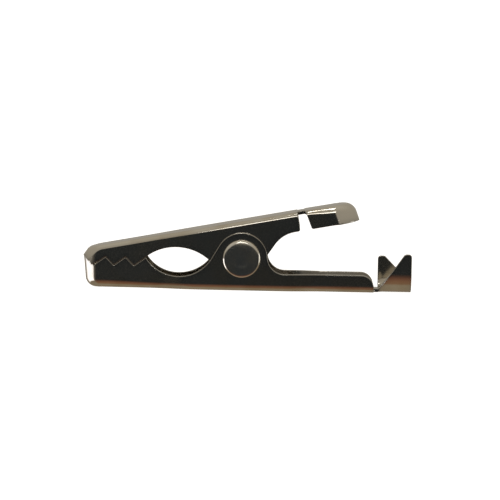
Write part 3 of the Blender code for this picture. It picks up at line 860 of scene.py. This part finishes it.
def springTree():
    # a straight line of points, wound to a coil with a straight leg at each end, then swept with the wire
    tree = bpy.data.node_groups.new("woundSpring", "GeometryNodeTree")
    link, new = tree.links.new, tree.nodes.new
    floats = ("Coil Radius", "Wire Radius", "Sweep", "Start Angle", "Half Width", "Leg Share")
    addSockets(tree, floats, "Float")
    addSockets(tree, ("Points",), "Int")
    addSockets(tree, ("Lower Leg", "Upper Leg"), "Vector")
    addSockets(tree, ("Material",), "Material")
    addSockets(tree, ("Geometry",), "Geometry", "OUTPUT")
    given = new("NodeGroupInput").outputs
    line = new("GeometryNodeCurvePrimitiveLine")
    points = new("GeometryNodeResampleCurve")
    link(line.outputs[0], points.inputs["Curve"])
    link(given["Points"], points.inputs["Count"])
    along = new("GeometryNodeSplineParameter").outputs["Factor"]
    share = given["Leg Share"]
    calc = functools.partial(mathNode, tree)
    coilRun = calc("SUBTRACT", 1.0, calc("MULTIPLY", share, 2.0))
    turn = calc("DIVIDE", calc("SUBTRACT", along, share), coilRun, clamp=True)
    angle = calc("SUBTRACT", given["Start Angle"], calc("MULTIPLY", turn, given["Sweep"]))
    coil = new("ShaderNodeCombineXYZ")
    width = calc("SUBTRACT", calc("MULTIPLY", turn, 2.0), 1.0)
    link(calc("MULTIPLY", calc("COSINE", angle), given["Coil Radius"]), coil.inputs[0])
    link(calc("MULTIPLY", width, given["Half Width"]), coil.inputs[1])
    link(calc("MULTIPLY", calc("SINE", angle), given["Coil Radius"]), coil.inputs[2])
    before = calc("SUBTRACT", 1.0, calc("DIVIDE", along, share), clamp=True)
    after = calc("DIVIDE", calc("SUBTRACT", along, calc("SUBTRACT", 1.0, share)), share, clamp=True)
    spot = coil.outputs[0]
    for leg, amount in (("Lower Leg", before), ("Upper Leg", after)):
        spot = vectorNode(tree, "ADD", spot, vectorNode(tree, "SCALE", given[leg], scale=amount))
    wound = new("GeometryNodeSetPosition")
    link(points.outputs[0], wound.inputs["Geometry"])
    link(spot, wound.inputs["Position"])
    section = new("GeometryNodeCurvePrimitiveCircle")
    section.inputs["Resolution"].default_value = springSizes["wireSides"]
    link(given["Wire Radius"], section.inputs["Radius"])
    sweep = new("GeometryNodeCurveToMesh")
    link(wound.outputs[0], sweep.inputs["Curve"])
    link(section.outputs[0], sweep.inputs["Profile Curve"])
    sweep.inputs["Fill Caps"].default_value = True
    smooth = new("GeometryNodeSetShadeSmooth")
    real = new("GeometryNodeRealizeInstances")
    finish = new("GeometryNodeSetMaterial")
    link(sweep.outputs[0], smooth.inputs[0])
    link(smooth.outputs[0], real.inputs[0])
    link(real.outputs[0], finish.inputs["Geometry"])
    link(given["Material"], finish.inputs["Material"])
    out = new("NodeGroupOutput")
    link(finish.outputs[0], out.inputs["Geometry"])
    return tree


def buildSpring(v, look):
    radius = rivetSizes["shank"] + v["clearance"] + v["wire"]
    lowerTip = (v["lowerLeg"], stamping["sheet"] + v["legGap"] + v["wire"] - pivot[2])
    web = upperJaw["rise"] - stamping["sheet"] - v["legGap"] - v["wire"]
    tilt = leverTilt()
    upperTip = (v["upperLeg"] * math.cos(tilt) - web * math.sin(tilt),
                v["upperLeg"] * math.sin(tilt) + web * math.cos(tilt))
    start, end = touchAngle(lowerTip, radius, -1), touchAngle(upperTip, radius, 1)
    sweep = (start - end) % (2 * math.pi) + 2 * math.pi * v["fullTurns"]
    half = (2 * v["wire"] + v["turnGap"]) * sweep / (4 * math.pi)
    legs = []
    for tip, angle in ((lowerTip, start), (upperTip, start - sweep)):
        legs.append((tip[0] - radius * math.cos(angle), 0, tip[1] - radius * math.sin(angle)))
    tree = springTree()
    holder = addObject("springHolder", bpy.data.meshes.new("springHolder"))
    wound = holder.modifiers.new("wound", "NODES")
    wound.node_group = tree
    sizes = {
        "Coil Radius": radius, "Wire Radius": v["wire"], "Sweep": sweep, "Start Angle": start,
        "Half Width": half, "Leg Share": v["legShare"], "Points": v["points"],
        "Lower Leg": legs[0], "Upper Leg": legs[1], "Material": look,
    }
    for item in tree.interface.items_tree:
        if item.in_out == "INPUT":
            wound[item.identifier] = sizes[item.name]
    bpy.context.view_layer.update()
    mesh = bpy.data.meshes.new_from_object(holder.evaluated_get(bpy.context.evaluated_depsgraph_get()))
    bpy.data.objects.remove(holder, do_unlink=True)
    shape = bmesh.new()
    shape.from_mesh(mesh)
    bmesh.ops.remove_doubles(shape, verts=shape.verts, dist=1e-5)
    bmesh.ops.recalc_face_normals(shape, faces=shape.faces)
    shape.to_mesh(mesh)
    shape.free()
    mesh.transform(Matrix.Translation(Vector(pivot) * mm) @ Matrix.Scale(mm, 4))
    mesh.set_sharp_from_angle(angle=sharpAngle)
    made = addObject("springWire", mesh)
    print("spring wound,", len(mesh.polygons), "faces")
    return made, half


markSizes = {
    "clouds": {"scale": 400.0, "detail": 3, "band": (0.38, 0.66)},
    # two sets of hairlines: degrees of turn, and the noise values between which a hair comes up
    "along": {"scale": 9000, "stretch": (0.03, 1, 1), "turn": (0, 4, 6), "band": (0.6, 0.68)},
    "across": {"scale": 7000, "stretch": (1, 0.05, 0.06), "turn": (35, 18, 0), "band": (0.63, 0.7)},
    "peelScale": 1500,
    "cloudRough": 0.55,
    "hairRough": 0.6,
    "hairDepth": 0.35,
    "bumpStrength": 0.5,
    "bumpDistance": 0.00002,
}


def markGroup(v):
    # what handling and plating leave on metal: cloudy tint, hairline scratches, faint orange peel; the Rim
    # Tint mixed in by Rim is painted shade along the cut edges
    tree = bpy.data.node_groups.new("platingMarksAndRimShade", "ShaderNodeTree")
    addSockets(tree, ("Tint", "Deep Tint", "Rim Tint"), "Color")
    addSockets(tree, ("Rim", "Cloud Size", "Smooth", "Rough", "Scratches", "Peel"), "Float")
    addSockets(tree, ("Color",), "Color", "OUTPUT")
    addSockets(tree, ("Roughness",), "Float", "OUTPUT")
    addSockets(tree, ("Normal",), "Vector", "OUTPUT")
    given = tree.nodes.new("NodeGroupInput").outputs
    place = tree.nodes.new("ShaderNodeTexCoord").outputs["Object"]

    def noise(scale, detail=2, stretch=(1, 1, 1), turn=(0, 0, 0)):
        mapping = tree.nodes.new("ShaderNodeMapping")
        mapping.inputs["Scale"].default_value = stretch
        mapping.inputs["Rotation"].default_value = [math.radians(angle) for angle in turn]
        tree.links.new(place, mapping.inputs["Vector"])
        node = tree.nodes.new("ShaderNodeTexNoise")
        node.inputs["Detail"].default_value = detail
        tree.links.new(mapping.outputs[0], node.inputs["Vector"])
        if isinstance(scale, (int, float)):
            node.inputs["Scale"].default_value = scale
        else:
            tree.links.new(scale, node.inputs["Scale"])
        return node.outputs["Fac"]

    def hairlines(sizes):
        return rampNode(tree, noise(sizes["scale"], 2, sizes["stretch"], sizes["turn"]), *sizes["band"])

    calc = functools.partial(mathNode, tree)
    cloudScale = calc("DIVIDE", v["clouds"]["scale"], given["Cloud Size"])
    clouds = rampNode(tree, noise(cloudScale, v["clouds"]["detail"]), *v["clouds"]["band"])
    hairs = calc("MAXIMUM", hairlines(v["along"]), hairlines(v["across"]))
    hairs = calc("MULTIPLY", hairs, given["Scratches"])
    tint = mixNode(tree, clouds, given["Tint"], given["Deep Tint"])
    out = tree.nodes.new("NodeGroupOutput").inputs
    # mixing in the Rim Tint paints shade along the cut edges
    tree.links.new(mixNode(tree, given["Rim"], tint, given["Rim Tint"]), out["Color"])
    spread = calc("SUBTRACT", given["Rough"], given["Smooth"])
    mixShare = calc("ADD", calc("MULTIPLY", clouds, v["cloudRough"]), calc("MULTIPLY", hairs, v["hairRough"]))
    tree.links.new(calc("ADD", given["Smooth"], calc("MULTIPLY", mixShare, spread)), out["Roughness"])
    peel = calc("MULTIPLY", noise(v["peelScale"]), given["Peel"])
    height = calc("SUBTRACT", peel, calc("MULTIPLY", hairs, v["hairDepth"]))
    bump = tree.nodes.new("ShaderNodeBump")
    bump.inputs["Strength"].default_value = v["bumpStrength"]
    bump.inputs["Distance"].default_value = v["bumpDistance"]
    tree.links.new(height, bump.inputs["Height"])
    tree.links.new(bump.outputs[0], out["Normal"])
    return tree


plated = markGroup(markSizes)


def metalLook(name, marks):
    look = bpy.data.materials.new(name)
    look.use_nodes = True
    tree = look.node_tree
    shader = tree.nodes["Principled BSDF"]
    shader.inputs["Metallic"].default_value = 1
    group = socketNode(tree, "ShaderNodeGroup", node_tree=plated)
    for key, value in marks.items():
        group.inputs[key].default_value = value
    # the edge attribute says where the Rim Tint's painted shade goes
    rim = socketNode(tree, "ShaderNodeAttribute", attribute_name="edge")
    tree.links.new(rim.outputs["Fac"], group.inputs["Rim"])
    for out, into in (("Color", "Base Color"), ("Roughness", "Roughness"), ("Normal", "Normal")):
        tree.links.new(group.outputs[out], shader.inputs[into])
    return look


# each Rim Tint is a painted shade for cut edges; only the jaw sheets carry the edge attribute that lays it
# on
nickelLook = metalLook("brightNickel", {
    "Tint": (0.67, 0.63, 0.55, 1), "Deep Tint": (0.56, 0.50, 0.40, 1), "Rim Tint": (0.44, 0.42, 0.375, 1),
    "Cloud Size": 1.6, "Smooth": 0.07, "Rough": 0.18, "Scratches": 0.14, "Peel": 0.2,
})
rivetLook = metalLook("rivetNickel", {
    "Tint": (0.88, 0.85, 0.78, 1), "Deep Tint": (0.70, 0.65, 0.55, 1), "Rim Tint": (0.7, 0.68, 0.62, 1),
    "Cloud Size": 1.0, "Smooth": 0.08, "Rough": 0.24, "Scratches": 0.2, "Peel": 0.35,
})
springLook = metalLook("springSteel", {
    "Tint": (0.42, 0.42, 0.43, 1), "Deep Tint": (0.30, 0.29, 0.29, 1), "Rim Tint": (0.5, 0.5, 0.5, 1),
    "Cloud Size": 1.0, "Smooth": 0.25, "Rough": 0.45, "Scratches": 0.6, "Peel": 0.5,
})
print("finishes made")

studio = {
    # sine of the height above the horizon, and the light that comes from there
    "front": (
        (-1.0, (0.31, 0.26, 0.19)),
        (-0.97, (0.25, 0.15, 0.09)),
        (-0.86, (0.235, 0.125, 0.073)),
        (-0.68, (0.16, 0.075, 0.048)),
        (-0.5, (0.07, 0.04, 0.03)),
        (-0.35, (0.0225, 0.025, 0.0265)),
        (0.095, (0.0225, 0.025, 0.0265)),
        (0.16, (0.38, 0.355, 0.31)),
        (0.6, (0.42, 0.39, 0.335)),
        (1.0, (0.5, 0.47, 0.41)),
    ),
    "back": (
        (-1.0, (0.31, 0.26, 0.19)),
        (-0.25, (0.24, 0.2, 0.15)),
        (0.0, (0.3, 0.28, 0.24)),
        (0.1, (0.38, 0.355, 0.31)),
        (0.6, (0.42, 0.39, 0.335)),
        (1.0, (0.5, 0.47, 0.41)),
    ),
    "frontEdge": (1.1, 0.45),  # bearing at which the front's light starts and is all there is
    # each pair is where the card fades in: bearing in radians from the front leftwards, height as a sine
    "cards": (
        {
            "from": (0.8, 1.0), "to": (2.55, 1.85),
            "foot": (-0.62, -0.5), "top": (-0.05, -0.1), "colour": (2.0, 2.0, 2.15),
        },
        {
            "from": (-1.5, -1.3), "to": (-0.65, -0.8),
            "foot": (-0.3, -0.2), "top": (0.05, 0.0), "colour": (1.2, 1.18, 1.1),
        },
    ),
    "paperGlow": 1.1,
    "floorHalf": 600,
    "floorGlow": 0.88,
    "floorColour": (0.8, 0.8, 0.8, 1),
    "lightAim": (0, 0, 4),
    "boxes": (
        # place, size and brightness of each soft box, mm
        ((150, -10, 20), (60, 40), 1.6),
        ((-9.5, -39, 122), (3.8, 40), 9.0),
        ((-1, -92, 37), (24, 14), 2.9),
    ),
}


def addRoom(v):
    world = bpy.data.worlds.new("studio")
    bpy.context.scene.world = world
    world.use_nodes = True
    tree = world.node_tree
    tree.nodes.clear()
    link, new = tree.links.new, tree.nodes.new
    way = new("ShaderNodeTexCoord").outputs["Generated"]
    split = new("ShaderNodeSeparateXYZ")
    link(way, split.inputs[0])
    height = mathNode(tree, "MULTIPLY_ADD", split.outputs[2], 0.5, 0.5)
    left, forward = (mathNode(tree, "MULTIPLY", split.outputs[k], -1.0) for k in (0, 1))
    bearing = mathNode(tree, "ARCTAN2", left, forward)

    def skyColour(stops):
        node = new("ShaderNodeValToRGB")
        while len(node.color_ramp.elements) < len(stops):
            node.color_ramp.elements.new(0.5)
        for element, (sine, colour) in zip(node.color_ramp.elements, stops):
            element.position = sine / 2 + 0.5
            element.color = (*colour, 1)
        link(height, node.inputs[0])
        return node.outputs[0]

    # the front of the room is dark, and white cards stand low on the left and on the right
    frontShare = rampNode(tree, mathNode(tree, "ABSOLUTE", bearing), *v["frontEdge"])
    colour = mixNode(tree, frontShare, skyColour(v["back"]), skyColour(v["front"]))
    for card in v["cards"]:
        share = rampNode(tree, bearing, *card["from"])
        for value, edge in ((bearing, "to"), (split.outputs[2], "foot"), (split.outputs[2], "top")):
            share = mathNode(tree, "MULTIPLY", share, rampNode(tree, value, *card[edge]))
        colour = mixNode(tree, share, colour, card["colour"])
    seen = new("ShaderNodeLightPath").outputs["Is Camera Ray"]
    sky, paper = new("ShaderNodeBackground"), new("ShaderNodeBackground")
    link(colour, sky.inputs["Color"])
    paper.inputs["Color"].default_value = (1, 1, 1, 1)
    paper.inputs["Strength"].default_value = v["paperGlow"]
    mix = new("ShaderNodeMixShader")
    link(seen, mix.inputs[0])
    link(sky.outputs[0], mix.inputs[1])
    link(paper.outputs[0], mix.inputs[2])
    link(mix.outputs[0], new("ShaderNodeOutputWorld").inputs["Surface"])


def addFloor(v):
    reach = v["floorHalf"] * mm
    mesh = bpy.data.meshes.new("floor")
    corners = [(x * reach, y * reach, 0) for x, y in ((-1, -1), (1, -1), (1, 1), (-1, 1))]
    mesh.from_pydata(corners, [], [(0, 1, 2, 3)])
    floor = addObject("floor", mesh)
    look = bpy.data.materials.new("paleFloor")
    look.use_nodes = True
    tree = look.node_tree
    tree.nodes.clear()
    link, new = tree.links.new, tree.nodes.new
    matt, glow = new("ShaderNodeBsdfDiffuse"), new("ShaderNodeEmission")
    matt.inputs["Color"].default_value = v["floorColour"]
    glow.inputs["Strength"].default_value = v["floorGlow"]
    both, away = new("ShaderNodeAddShader"), new("ShaderNodeBsdfTransparent")
    link(matt.outputs[0], both.inputs[0])
    link(glow.outputs[0], both.inputs[1])
    pick = new("ShaderNodeMixShader")
    link(new("ShaderNodeLightPath").outputs["Is Glossy Ray"], pick.inputs[0])
    link(both.outputs[0], pick.inputs[1])
    link(away.outputs[0], pick.inputs[2])
    link(pick.outputs[0], new("ShaderNodeOutputMaterial").inputs["Surface"])
    mesh.materials.append(look)


def addBoxes(v):
    for number, (place, size, brightness) in enumerate(v["boxes"]):
        light = bpy.data.lights.new(f"softBox{number}", "AREA")
        light.shape = "RECTANGLE"
        light.size, light.size_y = size[0] * mm, size[1] * mm
        light.energy = brightness * math.pi * light.size * light.size_y
        box = addObject(light.name, light)
        away = Vector(place) - Vector(v["lightAim"])
        box.matrix_world = Matrix.Translation(Vector(place) * mm) @ facing(away)


addRoom(studio)
addFloor(studio)
addBoxes(studio)
print("studio lit")

lowerSheet = buildLowerJaw(lowerJaw)
upperSheet = buildUpperJaw(upperJaw)
rivet = buildRivet(rivetSizes)
spring, springHalf = buildSpring(springSizes, springLook)

for piece, look in ((lowerSheet, nickelLook), (upperSheet, nickelLook), (rivet, rivetLook)):
    piece.data.materials.append(look)

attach(lowerSheet, "lower")
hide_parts("lower_jaw")
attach(upperSheet, "upper")
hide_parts("upper_jaw")
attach(rivet, "lower")
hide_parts("pivot_rivet")
# the coil winds from its leg on the lower jaw to its leg on the upper one
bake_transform(spring)
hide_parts("torsion_spring")
